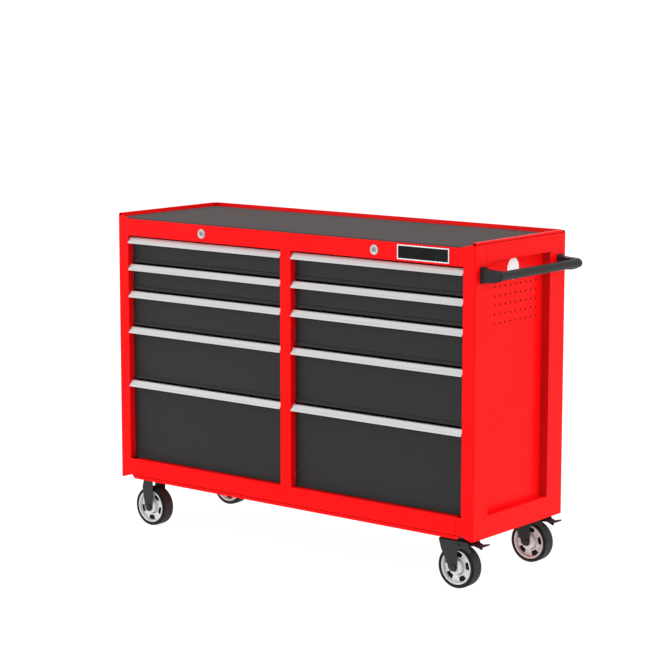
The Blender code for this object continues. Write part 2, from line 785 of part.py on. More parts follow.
def build_casters(body, black, grey, tread, zinc):
    hub = wheel_hub()
    tyre = wheel_tyre()
    bracket = rigid_bracket()
    plate = swivel_plate()
    fork = swivel_fork()
    pedal = brake_pedal()
    flat_down = pi / TYRE_SIDES
    for end, y in zip(("front", "rear"), CASTER_Y):
        over = empty(f"rigid_{end}", body, (-CASTER_X, y, 0))
        place(f"caster_bracket_left_{end}", bracket, black, over)
        wheel = empty(f"wheel_left_{end}", over, (0, 0, -AXLE_DROP))
        place(f"wheel_hub_left_{end}", hub, grey, wheel, turn=HUB_TURN["left"])
        place(f"wheel_tyre_left_{end}", tyre, tread, wheel, turn=flat_down)
        place(f"caster_plate_right_{end}", plate, zinc, body, (CASTER_X, y, 0))
        swivel = empty(f"swivel_{end}", body, (CASTER_X, y, 0))
        place(f"caster_fork_right_{end}", fork, black, swivel)
        wheel = empty(f"wheel_right_{end}", swivel, (TRAIL, 0, -AXLE_DROP))
        place(f"wheel_hub_right_{end}", hub, grey, wheel, turn=HUB_TURN["right"])
        place(f"wheel_tyre_right_{end}", tyre, tread, wheel, turn=flat_down)
        hinge = empty(f"brake_{end}", swivel, (PEDAL_HINGE[0], 0, PEDAL_HINGE[1]))
        place(f"brake_pedal_{end}", pedal, black, hinge)


def build_chest():
    for thing in list(bpy.data.objects):
        bpy.data.objects.remove(thing)
    body = empty("cabinet", None, (
        (HALF_WIDTH - RIGHT_REACH) / 2, (FRONT_REACH - DEPTH) / 2, FLOOR_CLEARANCE,
    ))
    red = finish("red_paint", (0.80, 0.012, 0.014), 0.35)
    charcoal = finish("charcoal_paint", (0.048, 0.048, 0.047), 0.55)
    aluminium = finish("pull_aluminium", (0.80, 0.80, 0.80), 0.35, 1.0)
    steel = finish("slide_steel", (0.55, 0.55, 0.56), 0.40, 1.0)
    silver = finish("lock_silver", (0.70, 0.70, 0.71), 0.30, 1.0)
    black = finish("black_paint", (0.035, 0.035, 0.035), 0.50)
    rubber = finish("mat_rubber", (0.145, 0.120, 0.115), 0.85)
    grey = finish("hub_grey", (0.60, 0.60, 0.61), 0.45)
    tread = finish("tyre_rubber", (0.022, 0.022, 0.022), 0.75)
    zinc = finish("zinc_steel", (0.50, 0.50, 0.50), 0.40, 1.0)
    build_shell(body, red, rubber)
    build_banks(body, charcoal, aluminium, steel)
    build_fittings(body, silver, black)
    build_casters(body, black, grey, tread, zinc)


build_chest()
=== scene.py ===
"""Looks of the rolling tool chest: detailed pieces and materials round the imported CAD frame.

Metres, +Z up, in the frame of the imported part: +X along the front, +Y from the front to the back.
Every place comes from a CAD node's box or from a joint's axis. Details are sized in millimetres.
Outlines of the casters are in millimetres from the axis named in each function.
"""

import json
from math import cos, pi, radians, sin, tan

import bmesh
import bpy
from mathutils import Matrix, Vector


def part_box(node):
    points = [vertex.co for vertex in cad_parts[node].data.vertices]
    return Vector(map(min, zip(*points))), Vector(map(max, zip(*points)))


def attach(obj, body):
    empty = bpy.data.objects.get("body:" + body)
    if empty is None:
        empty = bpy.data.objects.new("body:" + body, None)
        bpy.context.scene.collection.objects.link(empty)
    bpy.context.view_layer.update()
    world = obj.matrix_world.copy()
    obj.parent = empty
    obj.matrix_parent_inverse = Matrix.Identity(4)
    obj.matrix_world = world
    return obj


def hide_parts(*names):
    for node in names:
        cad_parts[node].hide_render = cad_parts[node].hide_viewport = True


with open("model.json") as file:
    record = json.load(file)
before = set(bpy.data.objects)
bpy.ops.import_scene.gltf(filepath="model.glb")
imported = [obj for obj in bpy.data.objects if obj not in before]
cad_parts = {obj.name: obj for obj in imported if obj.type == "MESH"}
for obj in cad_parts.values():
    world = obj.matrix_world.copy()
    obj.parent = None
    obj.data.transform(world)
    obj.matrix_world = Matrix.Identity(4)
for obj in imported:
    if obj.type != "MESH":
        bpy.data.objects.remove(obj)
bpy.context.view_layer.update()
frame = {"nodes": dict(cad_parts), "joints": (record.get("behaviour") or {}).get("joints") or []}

MM = 0.001
SIDES = ("left", "right")
ENDS = ("front", "rear")
JOINTS = {joint["name"]: joint for joint in frame["joints"]}

SHEET = 1.2 * MM
BEND_STEPS = 5
SHARP = radians(32)
EDGE = 0.4 * MM  # rounding of a cut sheet edge
SEAM_EDGE = 0.5 * MM  # wider rounding where two sheets of the cabinet meet
THIN_EDGE = 0.3 * MM  # rounding of sheets that a wider one would eat up
DRAWER_EDGE = 0.2 * MM
SEAM_DEPTH = 0.1 * MM  # the dark bottom of a seam lies this far under the faces beside it
SEAM_REACH = 1.5 * MM  # and it reaches this far to each side of the gap
LIP_WIDTH = 12 * MM
LIP_ROLL = 6 * MM


# ---------------------------------------------------------------- shapes

def exact(values):
    """The values on a grid of 0.001 mm, so that faces that should be flush are exactly flush."""
    return [round(value, 6) for value in values]


def box(low, high):
    """A box between two opposite corners."""
    shape = bmesh.new()
    bmesh.ops.create_cube(shape, size=1)
    for vert in shape.verts:
        vert.co = exact(b if side > 0 else a for a, b, side in zip(low, high, vert.co))
    return shape


def prism(outline, along, start, end):
    """A closed outline pushed along X, Y or Z. Its points hold the two other axes in order."""
    shape = bmesh.new()
    places = {"X": (1, 2, 0), "Y": (0, 2, 1), "Z": (0, 1, 2)}[along]
    corners = []
    low, high = exact((start, end))
    for point in outline:
        corner = Vector()
        corner[places[0]], corner[places[1]] = exact(point)
        corner[places[2]] = low
        corners.append(shape.verts.new(corner))
    base = shape.faces.new(corners)
    pushed = bmesh.ops.extrude_face_region(shape, geom=[base])["geom"]
    for part in pushed:
        if isinstance(part, bmesh.types.BMVert):
            part.co[places[2]] = high
    bmesh.ops.recalc_face_normals(shape, faces=shape.faces)
    return shape


def filleted(path, radius, closed=False, steps=BEND_STEPS):
    """The path with each corner replaced by an arc, which is smaller where a leg is short."""
    points = [Vector(point) for point in path]
    count = len(points)
    result = []
    for index, at in enumerate(points):
        if not closed and index in (0, count - 1):
            result.append(tuple(at))
            continue
        before = points[index - 1]
        after = points[(index + 1) % count]
        back = before - at
        onward = after - at
        turn = pi - back.angle(onward)
        if turn < radians(4):
            result.append(tuple(at))
            continue
        cut = min(radius * tan(turn / 2), 0.48 * back.length, 0.48 * onward.length)
        bend = cut / tan(turn / 2)
        back.normalize()
        onward.normalize()
        middle = at + (back + onward).normalized() * (bend / cos(turn / 2))
        first = at + back * cut - middle
        last = at + onward * cut - middle
        for step in range(steps + 1):
            share = step / steps
            arm = first * sin((1 - share) * turn) + last * sin(share * turn)
            result.append(tuple(middle + arm / sin(turn)))
    return result


def bent_sheet(path, sheet, along, start, end):
    """A sheet bent along the path, with its thickness to the left of the path's direction."""
    points = [Vector(point) for point in path]
    inner = []
    for index, point in enumerate(points):
        sides = []
        for a, b in ((index - 1, index), (index, index + 1)):
            if a < 0 or b == len(points):
                continue
            run = (points[b] - points[a]).normalized()
            sides.append(Vector((-run.y, run.x)))
        normal = sum(sides, Vector((0, 0))).normalized()
        inner.append(tuple(point + normal * sheet / normal.dot(sides[0])))
    return prism([tuple(point) for point in points] + inner[::-1], along, start, end)


def turned(profile, sides, axis="Y"):
    """A closed profile of (radius, height) points spun once round Y or Z."""
    shape = bmesh.new()
    corners = []
    for radius, height in profile:
        corners.append(shape.verts.new((radius, height, 0) if axis == "Y" else (radius, 0, height)))
    edges = [shape.edges.new((a, b)) for a, b in zip(corners, corners[1:] + corners[:1])]
    bmesh.ops.spin(
        shape, geom=corners + edges, axis=(0, 1, 0) if axis == "Y" else (0, 0, 1), cent=(0, 0, 0),
        angle=2 * pi, steps=sides, use_merge=True,
    )
    bmesh.ops.remove_doubles(shape, verts=shape.verts, dist=0.005 * MM)
    bmesh.ops.recalc_face_normals(shape, faces=shape.faces)
    return shape


def spun(profile, sides, axis="Y"):
    """A closed profile in millimetres spun once round Y or Z."""
    return turned([(radius * MM, height * MM) for radius, height in profile], sides, axis)


def both_sides(half):
    """The profile of one side of a wheel, followed by its mirror image."""
    return half + [(radius, -y) for radius, y in half[::-1]]


def circle(radius, sides, at=(0, 0)):
    """Corners of a regular polygon."""
    points = []
    for side in range(sides):
        turn = 2 * pi * side / sides
        points.append((at[0] + radius * cos(turn), at[1] + radius * sin(turn)))
    return points


def disc(radius, sides, axis, start, end, at=(0, 0)):
    """A round bar along an axis through a point of the two other axes."""
    return prism(circle(radius, sides, at), axis, start, end)


def moved(shape, offset):
    """The same shape, pushed by an offset."""
    bmesh.ops.translate(shape, vec=Vector(offset), verts=shape.verts)
    return shape


def mesh_of(shape, name="shape"):
    """A mesh with the shape's faces. The shape is used up."""
    mesh = bpy.data.meshes.new(name)
    shape.to_mesh(mesh)
    shape.free()
    return mesh


def joined(shapes):
    """One shape that holds all the given ones, which stay separate bodies."""
    whole = bmesh.new()
    for shape in shapes:
        mesh = mesh_of(shape)
        whole.from_mesh(mesh)
        bpy.data.meshes.remove(mesh)
    return whole


def carved(shapes, cuts=(), within=()):
    """Overlapping shapes united, less the cuts, and kept only inside the last ones."""
    helpers = []
    for shape in (*shapes, *cuts, *within):
        thing = bpy.data.objects.new("helper", mesh_of(shape))
        bpy.context.scene.collection.objects.link(thing)
        helpers.append(thing)
    base = helpers[0]
    for index, tool in enumerate(helpers[1:], start=1):
        modifier = base.modifiers.new("step", "BOOLEAN")
        modifier.object = tool
        if index < len(shapes):
            modifier.operation = "UNION"
        elif index < len(shapes) + len(cuts):
            modifier.operation = "DIFFERENCE"
        else:
            modifier.operation = "INTERSECT"
    bpy.context.view_layer.update()
    evaluated = base.evaluated_get(bpy.context.evaluated_depsgraph_get())
    mesh = bpy.data.meshes.new_from_object(evaluated)
    for tool in helpers:
        bpy.data.objects.remove(tool)
    result = bmesh.new()
    result.from_mesh(mesh)
    bpy.data.meshes.remove(mesh)
    bmesh.ops.remove_doubles(result, verts=result.verts, dist=0.01 * MM)
    bmesh.ops.dissolve_limit(
        result, angle_limit=radians(0.5), verts=result.verts, edges=result.edges,
        delimit={"NORMAL"},
    )
    return result


def of_node(node):
    """The CAD node's own shape, with its triangles joined into whole faces again."""
    shape = bmesh.new()
    shape.from_mesh(frame["nodes"][node].data)
    bmesh.ops.remove_doubles(shape, verts=shape.verts, dist=0.01 * MM)
    bmesh.ops.dissolve_limit(shape, angle_limit=radians(0.5), verts=shape.verts, edges=shape.edges)
    return shape


def piece(name, shape, material, body, replaced=(), edge=0.0, segments=2):
    """A named visible piece that rides on a CAD body, with its edges rounded on request."""
    mesh = mesh_of(shape, name)
    mesh.shade_smooth()
    mesh.set_sharp_from_angle(angle=SHARP)
    mesh.materials.append(material)
    thing = bpy.data.objects.new(name, mesh)
    bpy.context.scene.collection.objects.link(thing)
    if edge:
        bevel = thing.modifiers.new("edges", "BEVEL")
        bevel.width = edge
        bevel.segments = segments
        bevel.limit_method = "ANGLE"
        bevel.angle_limit = radians(40)
        bevel.harden_normals = True
    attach(thing, body)
    if replaced:
        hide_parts(*replaced)
    return thing


# ---------------------------------------------------------------- materials

class Paint:
    """A node material under construction. Texture coordinates are the piece's own, in metres."""

    def __init__(self, name):
        self.material = bpy.data.materials.new(name)
        self.material.use_nodes = True
        self.nodes = self.material.node_tree.nodes
        self.links = self.material.node_tree.links
        self.shader = self.nodes["Principled BSDF"]
        self.place = self.nodes.new("ShaderNodeTexCoord")

    def set(self, **values):
        """Uniform values, each named as its socket with underscores."""
        for name, value in values.items():
            socket = name.replace("_", " ").title().replace("Ior", "IOR")
            self.shader.inputs[socket].default_value = value
        return self

    def stretched(self, scale):
        """The piece's own coordinates, scaled along each axis."""
        mapping = self.nodes.new("ShaderNodeMapping")
        mapping.inputs["Scale"].default_value = scale
        self.links.new(self.place.outputs["Object"], mapping.inputs["Vector"])
        return mapping.outputs["Vector"]

    def noise(self, scale, detail=2.0, roughness=0.5, stretch=(1, 1, 1)):
        """Cloudy noise with this many waves to the metre."""
        texture = self.nodes.new("ShaderNodeTexNoise")
        texture.inputs["Scale"].default_value = scale
        texture.inputs["Detail"].default_value = detail
        texture.inputs["Roughness"].default_value = roughness
        self.links.new(self.stretched(stretch), texture.inputs["Vector"])
        return texture.outputs["Fac"]

    def cells(self, scale):
        """Distance to the nearest point of a random scatter, this many to the metre."""
        texture = self.nodes.new("ShaderNodeTexVoronoi")
        texture.inputs["Scale"].default_value = scale
        self.links.new(self.stretched((1, 1, 1)), texture.inputs["Vector"])
        return texture.outputs["Distance"]

    def spread(self, fac, low, high):
        """The middle of the factor's range mapped to a range of numbers."""
        ramp = self.nodes.new("ShaderNodeMapRange")
        ramp.inputs["From Min"].default_value = 0.3
        ramp.inputs["From Max"].default_value = 0.7
        ramp.inputs["To Min"].default_value = low
        ramp.inputs["To Max"].default_value = high
        self.links.new(fac, ramp.inputs["Value"])
        return ramp.outputs["Result"]

    def colours(self, fac, dark, light, low_at=0.35, high_at=0.65):
        """A base colour that runs from dark to light with the factor."""
        ramp = self.nodes.new("ShaderNodeValToRGB")
        ramp.color_ramp.elements[0].position = low_at
        ramp.color_ramp.elements[0].color = (*dark, 1)
        ramp.color_ramp.elements[1].position = high_at
        ramp.color_ramp.elements[1].color = (*light, 1)
        self.links.new(fac, ramp.inputs["Fac"])
        self.links.new(ramp.outputs["Color"], self.shader.inputs["Base Color"])
        return self

    def roughness(self, fac, low, high):
        """A roughness that runs between two values with the factor."""
        self.links.new(self.spread(fac, low, high), self.shader.inputs["Roughness"])
        return self

    def bump(self, fac, depth, strength=1.0):
        """Bump of the given depth in metres, on top of any bump that is there already."""
        bump = self.nodes.new("ShaderNodeBump")
        bump.inputs["Strength"].default_value = strength
        bump.inputs["Distance"].default_value = depth
        self.links.new(fac, bump.inputs["Height"])
        socket = self.shader.inputs["Normal"]
        if socket.links:
            self.links.new(socket.links[0].from_socket, bump.inputs["Normal"])
        self.links.new(bump.outputs["Normal"], socket)
        return self


def red_paint(name, dark, light):
    """Glossy powder coat: a fine orange peel, and a colour that drifts very slightly."""
    paint = Paint(name).set(specular_ior_level=0.05)
    paint.colours(paint.noise(3, 3), dark, light)
    paint.roughness(paint.noise(40, 4), 0.26, 0.38)
    paint.bump(paint.noise(450, 2), 0.03 * MM, 0.25)
    return paint.material


def charcoal_paint():
    """Satin textured powder coat with a faint fleck."""
    paint = Paint("charcoal_powder_coat").set(specular_ior_level=0.1)
    paint.colours(paint.noise(1400, 3, 0.7), (0.017, 0.017, 0.0168), (0.029, 0.029, 0.0285))
    paint.roughness(paint.noise(60, 4), 0.46, 0.58)
    paint.bump(paint.noise(900, 3, 0.6), 0.08 * MM, 0.55)
    return paint.material


def black_paint(name, dark, light):
    """Satin black powder coat."""
    paint = Paint(name).set(specular_ior_level=0.14)
    paint.colours(paint.noise(900, 3, 0.7), dark, light)
    paint.roughness(paint.noise(70, 4), 0.40, 0.54)
    paint.bump(paint.noise(700, 3, 0.6), 0.08 * MM, 0.5)
    return paint.material


def brushed_metal(name, dark, light, metallic, rough, stretch):
    """Metal with fine draw lines along one axis."""
    paint = Paint(name).set(metallic=metallic)
    lines = paint.noise(1, 4, 0.6, stretch)
    paint.colours(lines, dark, light)
    paint.roughness(lines, rough - 0.06, rough + 0.06)
    paint.bump(lines, 0.02 * MM, 0.35)
    return paint.material


def plated_steel(name, dark, light, rough):
    """Zinc plate with its cloudy, crystalline patches."""
    paint = Paint(name).set(metallic=1.0)
    patches = paint.cells(120)
    paint.colours(patches, dark, light, 0.2, 0.9)
    paint.roughness(paint.noise(90, 4), rough - 0.07, rough + 0.07)
    paint.bump(paint.noise(500, 2), 0.02 * MM, 0.3)
    return paint.material


def mat_rubber():
    """Matt foam mat with a fine pebbled skin."""
    paint = Paint("mat_foam").set(specular_ior_level=0.1)
    paint.colours(paint.noise(260, 4, 0.7), (0.072, 0.059, 0.059), (0.094, 0.078, 0.078))
    paint.roughness(paint.noise(80, 3), 0.78, 0.92)
    paint.bump(paint.cells(420), 0.25 * MM, 0.5)
    return paint.material


def rubber(name, dark, light):
    """Matt rubber, a little dusty, with a fine grain."""
    paint = Paint(name).set(specular_ior_level=0.15)
    paint.colours(paint.noise(45, 5, 0.65), dark, light)
    paint.roughness(paint.noise(120, 4), 0.55, 0.75)
    paint.bump(paint.noise(1200, 3), 0.05 * MM, 0.5)
    return paint.material


def moulded_plastic(name, dark, light, low, high, gloss=0.3):
    """Moulded plastic with a faint spark-eroded grain."""
    paint = Paint(name).set(specular_ior_level=gloss)
    paint.colours(paint.noise(30, 3), dark, light)
    paint.roughness(paint.noise(200, 3), low, high)
    paint.bump(paint.noise(1500, 2), 0.02 * MM, 0.4)
    return paint.material


RED = red_paint("red_powder_coat", (0.84, 0.0026, 0.0034), (0.90, 0.0040, 0.0050))
# The same red powder coat, darker: painted shade for the recess's rear wall and ceiling
RED_PAINTED_SHADE = red_paint("red_powder_coat_painted_shade", (0.44, 0.0050, 0.0060), (0.50, 0.0070, 0.0080))
CHARCOAL = charcoal_paint()
BLACK = black_paint("black_powder_coat", (0.021, 0.021, 0.021), (0.034, 0.034, 0.034))
GRIP = black_paint("handle_powder_coat", (0.013, 0.013, 0.013), (0.023, 0.023, 0.023))
PULL = brushed_metal(
    "satin_aluminium", (0.55, 0.55, 0.555), (0.65, 0.65, 0.655), 0.55, 0.36, (3, 900, 900),
)
SILVER = brushed_metal(
    "bright_plate", (0.52, 0.53, 0.54), (0.68, 0.69, 0.70), 0.7, 0.25, (300, 300, 300),
)
RING = brushed_metal(
    "lock_ring_plate", (0.34, 0.35, 0.35), (0.46, 0.47, 0.47), 0.7, 0.34, (300, 300, 300),
)
LOCK = brushed_metal(
    "lock_core_plate", (0.18, 0.19, 0.19), (0.28, 0.29, 0.29), 0.8, 0.34, (300, 300, 300),
)
STEEL = plated_steel("slide_zinc", (0.46, 0.46, 0.47), (0.66, 0.66, 0.67), 0.34)
# Zinc plate darkened far below bright zinc: painted shade under the cabinet, for the swivel plates,
# races and kingpins
ZINC_IN_PAINTED_SHADE = plated_steel("caster_zinc_painted_shade", (0.05, 0.05, 0.05), (0.09, 0.09, 0.09), 0.50)
MAT = mat_rubber()
TREAD = rubber("tyre_tread", (0.020, 0.020, 0.020), (0.034, 0.034, 0.033))
SIDEWALL = rubber("tyre_sidewall", (0.004, 0.004, 0.004), (0.009, 0.009, 0.009))
HUB = moulded_plastic("hub_plastic", (0.58, 0.58, 0.585), (0.70, 0.70, 0.705), 0.28, 0.40)
# Dark plastic of the badge field; the same dark is painted shade in the corner holes, peg holes,
# keyways and hub windows
DARK_PLASTIC_AND_SHADE = moulded_plastic("dark_plastic_and_painted_shade", (0.003, 0.003, 0.003), (0.007, 0.007, 0.007), 0.55, 0.7, 0.1)
PEDAL = moulded_plastic("pedal_plastic", (0.010, 0.010, 0.010), (0.020, 0.020, 0.020), 0.45, 0.6, 0.15)
# Near-black strips at the bottoms of the seams: painted shade of the grooves
SEAM = moulded_plastic("seam_shadow", (0.030, 0.001, 0.001), (0.050, 0.002, 0.002), 0.6, 0.8, 0.0)
LABEL = moulded_plastic("label_film", (0.84, 0.84, 0.84), (0.90, 0.90, 0.90), 0.30, 0.38)


# ---------------------------------------------------------------- cabinet

def centre_of(node):
    """Middle of a CAD node's box."""
    low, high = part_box(node)
    return (low + high) / 2


def soften(node, material, body="cabinet", edge=EDGE, segments=2):
    """A CAD shape that is right as it stands, with its cut edges rounded."""
    return piece(f"{node}_finished", of_node(node), material, body, [node], edge, segments)


def soft_shell():
    """Sheets and slide racks whose CAD shapes are kept."""
    for node in (
        "corner_post_left", "corner_post_right", "header_rail", "bottom_rail", "centre_post",
        "centre_divider", "bottom_pan",
    ):
        soften(node, RED, edge=SEAM_EDGE, segments=3)
    soften("back_panel", RED, edge=THIN_EDGE)
    for side in SIDES:
        for place in ("outer", "inner"):
            soften(f"slide_rack_{side}_{place}", STEEL, edge=THIN_EDGE)


def seams():
    """Dark strips at the bottoms of the grooves where the cabinet's sheets meet: painted shade of the
    seams.
    """
    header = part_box("header_rail")
    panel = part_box("side_panel_right")
    middle = (header[0].x + header[1].x) / 2
    strips = []
    for sign in (-1, 1):
        strips += front_seams(middle, sign, header)
        strips += side_seams(middle, sign, panel)
    strips.append(skirt_seam(header[0].y))
    piece("seam_shadows", joined(strips), SEAM, "cabinet")


def front_seams(middle, sign, header):
    """Upright seams of one corner post with the header rail and with the bottom rail."""
    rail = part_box("bottom_rail")
    gap = 0.3 * MM
    front = header[0].y
    half = (header[1].x - header[0].x) / 2 + gap
    x = middle + sign * half
    strips = []
    for low, high in ((header[0].z, header[1].z - MM), (rail[0].z, rail[1].z)):
        strips.append(box(
            (x - SEAM_REACH, front + SEAM_DEPTH, low),
            (x + SEAM_REACH, front + SHEET - 0.1 * MM, high),
        ))
    return strips


def side_seams(middle, sign, panel):
    """Seams in front of, behind and above one side panel."""
    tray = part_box("top_tray")
    half_gap = 0.15 * MM
    lip_length = 434 * MM
    outer = middle + sign * (panel[1].x - middle)
    low_x, high_x = sorted((outer - sign * SEAM_DEPTH, outer - sign * (SHEET - 0.1 * MM)))
    strips = []
    for y in (panel[0].y - half_gap, panel[1].y + half_gap):
        strips.append(box(
            (low_x, y - SEAM_REACH, panel[0].z + MM), (high_x, y + SEAM_REACH, panel[1].z - MM),
        ))
    strips.append(box(
        (low_x, tray[0].y, panel[1].z - 0.2 * MM),
        (high_x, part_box("header_rail")[0].y + lip_length, panel[1].z + 1.4 * MM),
    ))
    return strips


def skirt_seam(front):
    """Seam between the bottom rail and the pan's skirt, without the skirt's slanted ends."""
    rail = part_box("bottom_rail")
    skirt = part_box("bottom_pan")
    slanted = 44 * MM
    return box(
        (skirt[0].x + slanted, front + 0.5 * MM, rail[0].z - 1.4 * MM),
        (skirt[1].x - slanted, front + 1.4 * MM, rail[0].z + 0.4 * MM),
    )


def top_tray():
    """Tray floor and its lips, each rolled over in a round edge."""
    low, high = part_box("top_tray")
    floor_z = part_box("top_mat")[0].z - 0.3 * MM
    middle = (low.x + high.x) / 2
    side_wall = high.x - LIP_WIDTH
    back_wall = high.y - LIP_WIDTH
    lips_end = high.y - 13.7 * MM
    right = rolled_lip(high.x, side_wall, high.z, floor_z)
    left = [(2 * middle - x, z) for x, z in right[::-1]]
    tray = bent_sheet(right + left, SHEET, "Y", low.y, lips_end)
    floor = box(
        (2 * middle - side_wall, lips_end - MM, floor_z - SHEET),
        (side_wall, back_wall + SHEET, floor_z - 0.02 * MM),
    )
    back = rolled_lip(high.y, back_wall, high.z, floor_z - SHEET)
    back_half = high.x - middle - 13.8 * MM
    rear = bent_sheet(back, SHEET, "X", middle - back_half, middle + back_half)
    shape = joined([tray, floor, rear])
    piece("top_tray_rolled", shape, RED, "cabinet", ["top_tray"], 0.3 * MM, 1)
    top_corners(middle, lips_end, high)


def rolled_lip(outer, wall, top, foot):
    """Path of a lip: a round outer edge, a flat top and the wall down to its foot."""
    path = []
    for step in range(BEND_STEPS + 1):
        turn = pi / 2 * step / BEND_STEPS
        path.append((outer - LIP_ROLL + LIP_ROLL * cos(turn), top - LIP_ROLL + LIP_ROLL * sin(turn)))
    return path + filleted([(outer - LIP_ROLL, top), (wall, top), (wall, foot)], 1.6 * MM)[1:]


def top_corners(middle, lips_end, high):
    """Dark boxes in the open rear corners, between the side lips and the back lip: painted shade of
    their insides.
    """
    margin = 2.4 * MM
    shades = []
    for sign in (-1, 1):
        first, last = sorted(middle + sign * (high.x - middle - reach) for reach in (13.7 * MM, margin))
        shades.append(box(
            (first, lips_end + 0.2 * MM, high.z - 11 * MM), (last, high.y - margin, high.z - 2 * MM),
        ))
    # the dark boxes are painted shade inside the corner holes
    piece("top_corner_shades", joined(shades), DARK_PLASTIC_AND_SHADE, "cabinet")


def top_mat():
    """Foam mat with soft edges."""
    low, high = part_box("top_mat")
    piece("top_mat_foam", box(low, high), MAT, "cabinet", ["top_mat"], 2 * MM, 4)


def side_panel(side):
    """Side sheet with its pressed recess, and round peg holes on the right."""
    node = f"side_panel_{side}"
    low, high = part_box(node)
    sign = 1 if side == "right" else -1
    outer = high.x if sign > 0 else low.x
    inner = low.x if sign > 0 else high.x
    floor_x = inner + sign * SHEET
    recess_low = (low.y + 12.8 * MM, low.z + 61.3 * MM)
    recess_high = (recess_low[0] + 293.2 * MM, recess_low[1] + 692.2 * MM)
    mouth = box_of_x(outer - sign * SHEET / 2, inner, recess_low, recess_high, SHEET)
    hollow = box_of_x(outer + sign * SHEET, floor_x, recess_low, recess_high, 0)
    skin = box_of_x(outer, outer - sign * SHEET, (low.y, low.z), (high.y, high.z), 0)
    cuts = [hollow]
    if side == "right":
        cuts.append(peg_discs(3.3 * MM, inner - SHEET, floor_x + SHEET, recess_low))
        # Dark discs behind the peg holes: painted shade inside the holes
        shades = peg_discs(3.9 * MM, inner - 0.6 * MM, inner - 0.1 * MM, recess_low)
        piece("peg_hole_shades", shades, DARK_PLASTIC_AND_SHADE, "cabinet")
    shape = carved([skin, mouth], cuts)
    pressed = piece(f"{node}_pressed", shape, RED, "cabinet", [node], 0.5 * MM)
    # painted shade: the recess's rear wall and ceiling get the darker red
    paint_recess_shade(pressed.data, recess_high)


def paint_recess_shade(mesh, high):
    """The rear wall and the ceiling of the recess get a deeper red: painted shade."""
    mesh.materials.append(RED_PAINTED_SHADE)
    for face in mesh.polygons:
        on_rear = face.normal.y < -0.9 and abs(face.center.y - high[0]) < MM
        on_ceiling = face.normal.z < -0.9 and abs(face.center.z - high[1]) < MM
        if on_rear or on_ceiling:
            face.material_index = 1


def box_of_x(first, second, low, high, grow):
    """A box between two X planes over a y-z rectangle grown by a margin."""
    return box(
        (min(first, second), low[0] - grow, low[1] - grow),
        (max(first, second), high[0] + grow, high[1] + grow),
    )


def peg_discs(radius, start, end, recess_low):
    """Discs along X on the grid of the peg holes."""
    pitch = 25 * MM
    columns = 10
    rows = 5
    first = (recess_low[0] + 34.6 * MM, recess_low[1] + 516.2 * MM)
    discs = []
    for column in range(columns):
        for row in range(rows):
            middle = (first[0] + column * pitch, first[1] + row * pitch)
            discs.append(disc(radius, 20, "X", start, end, middle))
    return joined(discs)


def label():
    """Blank, nearly round label in the right recess, partly behind the handle."""
    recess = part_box("side_panel_right")
    face = recess[0].x + SHEET
    middle = ((recess[0].y + recess[1].y) / 2 + 1.9 * MM, recess[0].z + 720 * MM)
    outline = [(y * 0.93 + middle[0] * 0.07, z) for y, z in circle(30 * MM, 48, middle)]
    film = prism(outline, "X", face + 0.1 * MM, face + 0.35 * MM)
    piece("blank_label", film, LABEL, "cabinet")


# ---------------------------------------------------------------- drawers

def drawers():
    """Two banks of five drawers, each with its pull."""
    for side in SIDES:
        for number in range(1, 6):
            body = f"{side}_drawer_{number}"
            soften(f"drawer_{side}_{number}", CHARCOAL, body, DRAWER_EDGE)
            pull(f"pull_{side}_{number}", body)


def pull(node, body):
    """Extruded pull: flat top, sloping face with a fine step along its lower third, curled tip."""
    low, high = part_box(node)
    sheet = 1.8 * MM
    reach = low.y
    top = high.z
    path = [
        (high.y, low.z + 2.5 * MM),
        (high.y, top),
        (reach + 12 * MM, top),
        (reach + 4.2 * MM, top - 12.1 * MM),
        (reach + 3.6 * MM, top - 12.2 * MM),
        (reach, top - 17.8 * MM),
    ]
    shape = bent_sheet(filleted(path, 2.4 * MM), sheet, "X", low.x, high.x)
    piece(f"{node}_extrusion", shape, PULL, body, [node], 0.35 * MM)


# ---------------------------------------------------------------- small fittings

def locks():
    """Round plated lock on each bank, with a ringed flange and a plug with its key slot."""
    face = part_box("header_rail")[0].y
    flange = [
        (6.8, -2.3), (7.5, -2.8), (9.4, -3.0), (10.1, -2.5), (11.6, -2.4), (12.3, -2.7),
        (13.3, -2.3), (14.0, -1.4), (14.0, -0.3), (9.5, -0.3), (9.5, 16.0), (6.8, 16.0),
    ]
    for side in SIDES:
        middle = centre_of(f"lock_housing_{side}")
        at = (middle.x, face, middle.z)
        piece(
            f"lock_flange_{side}", moved(spun(flange, 64), at), RING, "cabinet",
            [f"lock_housing_{side}"], 0.15 * MM, 1,
        )
        slot = box((-0.9 * MM, -5 * MM, -4 * MM), (0.9 * MM, 10 * MM, 4 * MM))
        ward = box((-2.2 * MM, -5 * MM, -0.6 * MM), (2.2 * MM, 2 * MM, 0.6 * MM))
        plug = carved([disc(6.5 * MM, 48, "Y", -2.4 * MM, 18 * MM)], [slot, ward])
        piece(
            f"lock_core_{side}", moved(plug, at), LOCK, f"{side}_plug",
            [f"lock_plug_{side}"], 0.3 * MM,
        )
        # Dark box inside the key slot: painted shade of the keyway
        shade = box((-0.8 * MM, 2.2 * MM, -3.9 * MM), (0.8 * MM, 3 * MM, 3.9 * MM))
        piece(f"lock_keyway_painted_shade_{side}", moved(shade, at), DARK_PLASTIC_AND_SHADE, f"{side}_plug")


